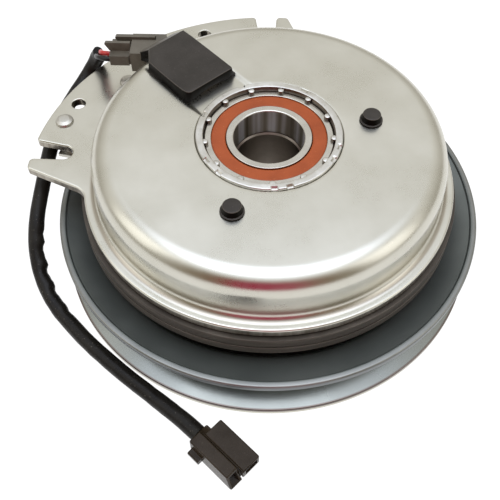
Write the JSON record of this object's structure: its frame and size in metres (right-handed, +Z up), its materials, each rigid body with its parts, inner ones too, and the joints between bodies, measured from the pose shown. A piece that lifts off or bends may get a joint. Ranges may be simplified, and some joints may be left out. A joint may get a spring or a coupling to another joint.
{
  "type": "electromagnetic clutch",
  "caption": "Electromagnetic clutch with a V-belt pulley, a pressed field shell on a sealed ball bearing, a slotted torque bracket and a sleeved harness with an end connector.",
  "frame": {"origin": "centre of the rotor hub's lower face, where the crankshaft bore begins", "axes": "+Z up the shaft towards the field bearing, -X out through the torque slot"},
  "size_m": [0.2063, 0.2368, 0.0733],
  "materials": {
    "zinc_shell": "warm satin zinc plating",
    "machined_steel": "turned and zinc plated",
    "plated_steel": "spun sheet, zinc plated, grey-green in the shade",
    "friction_iron": "turned, phosphated brown-grey",
    "hub_steel": "machined, dark phosphate",
    "bearing_steel": "ground",
    "cage_steel": "pressed sheet",
    "seal_rubber": "orange-brown moulded nitrile",
    "spring_steel": "tempered strip",
    "rivet_steel": "bright zinc",
    "magnet": "sintered magnet and lining strip",
    "copper_wire": "enamelled copper wire",
    "bobbin_nylon": "natural nylon",
    "potting_resin": "dark epoxy",
    "cover_nylon": "satin moulded nylon, brown-black",
    "plug_nylon": "moulded nylon, dark olive grey",
    "connector_nylon": "semi-gloss moulded nylon, brown-black",
    "tin_plate": "tin plated brass",
    "red_insulation": "glossy PVC",
    "black_insulation": "glossy PVC",
    "sleeve_vinyl": "soft glossy vinyl tube"
  },
  "bodies": {
    "field": {"field_shell": "zinc_shell", "bearing_carrier": "machined_steel", "coil_bobbin": "bobbin_nylon", "coil_winding": "copper_wire", "coil_potting": "potting_resin", "locating_plugs": "cover_nylon", "terminal_housing": "plug_nylon", "terminal_cover": "cover_nylon", "field_terminals": "tin_plate", "plug_housing": "plug_nylon", "plug_terminals": "tin_plate", "plug_wire_red": "red_insulation", "plug_wire_black": "black_insulation", "harness_sleeve": "sleeve_vinyl", "connector_housing": "connector_nylon", "connector_terminals": "tin_plate", "bracket_rivets": "rivet_steel", "brake_spacers": "rivet_steel", "brake_shoe": "rivet_steel", "brake_magnets": "magnet", "field_bearing_outer_ring": "bearing_steel", "field_bearing_upper_seal": "seal_rubber", "field_bearing_lower_seal": "seal_rubber"},
    "field_cage": {"field_bearing_cage": "cage_steel", "field_bearing_balls": "bearing_steel"},
    "rotor": {"rotor_disc": "friction_iron", "rotor_hub": "hub_steel", "hub_snap_ring": "spring_steel", "field_bearing_inner_ring": "bearing_steel", "pulley_bearing_inner_ring": "bearing_steel"},
    "pulley_cage": {"pulley_bearing_cage": "cage_steel", "pulley_bearing_balls": "bearing_steel"},
    "pulley": {"pulley_upper_flange": "plated_steel", "pulley_lower_flange": "plated_steel", "pulley_hub": "plated_steel", "pulley_rivets": "rivet_steel", "spring_rivets": "rivet_steel", "leaf_springs": "spring_steel", "pulley_bearing_outer_ring": "bearing_steel", "pulley_bearing_upper_seal": "seal_rubber", "pulley_bearing_lower_seal": "seal_rubber", "pulley_snap_ring": "spring_steel"},
    "armature": {"armature_plate": "friction_iron", "armature_rivets": "rivet_steel"}
  },
  "joints": [
    {"name": "rotor_spin", "type": "hinge", "parent": "field", "child": "rotor", "pos_m": [0, 0, 0.0605], "axis": [0, 0, 1], "continuous": true},
    {"name": "field_cage_spin", "type": "hinge", "parent": "field", "child": "field_cage", "pos_m": [0, 0, 0.0605], "axis": [0, 0, 1], "continuous": true},
    {"name": "pulley_spin", "type": "hinge", "parent": "rotor", "child": "pulley", "pos_m": [0, 0, 0.0135], "axis": [0, 0, 1], "continuous": true},
    {"name": "pulley_cage_spin", "type": "hinge", "parent": "rotor", "child": "pulley_cage", "pos_m": [0, 0, 0.0135], "axis": [0, 0, 1], "continuous": true},
    {"name": "armature_slide", "type": "slide", "parent": "pulley", "child": "armature", "axis": [0, 0, 1], "range_m": [0, 0.00045], "stiffness_N_per_m": 30000, "deforming": ["leaf_springs"]}
  ],
  "couplings": [
    {"joint": "field_cage_spin", "follows": "rotor_spin", "ratio": 0.41595},
    {"joint": "pulley_cage_spin", "follows": "pulley_spin", "ratio": 0.5735}
  ]
}
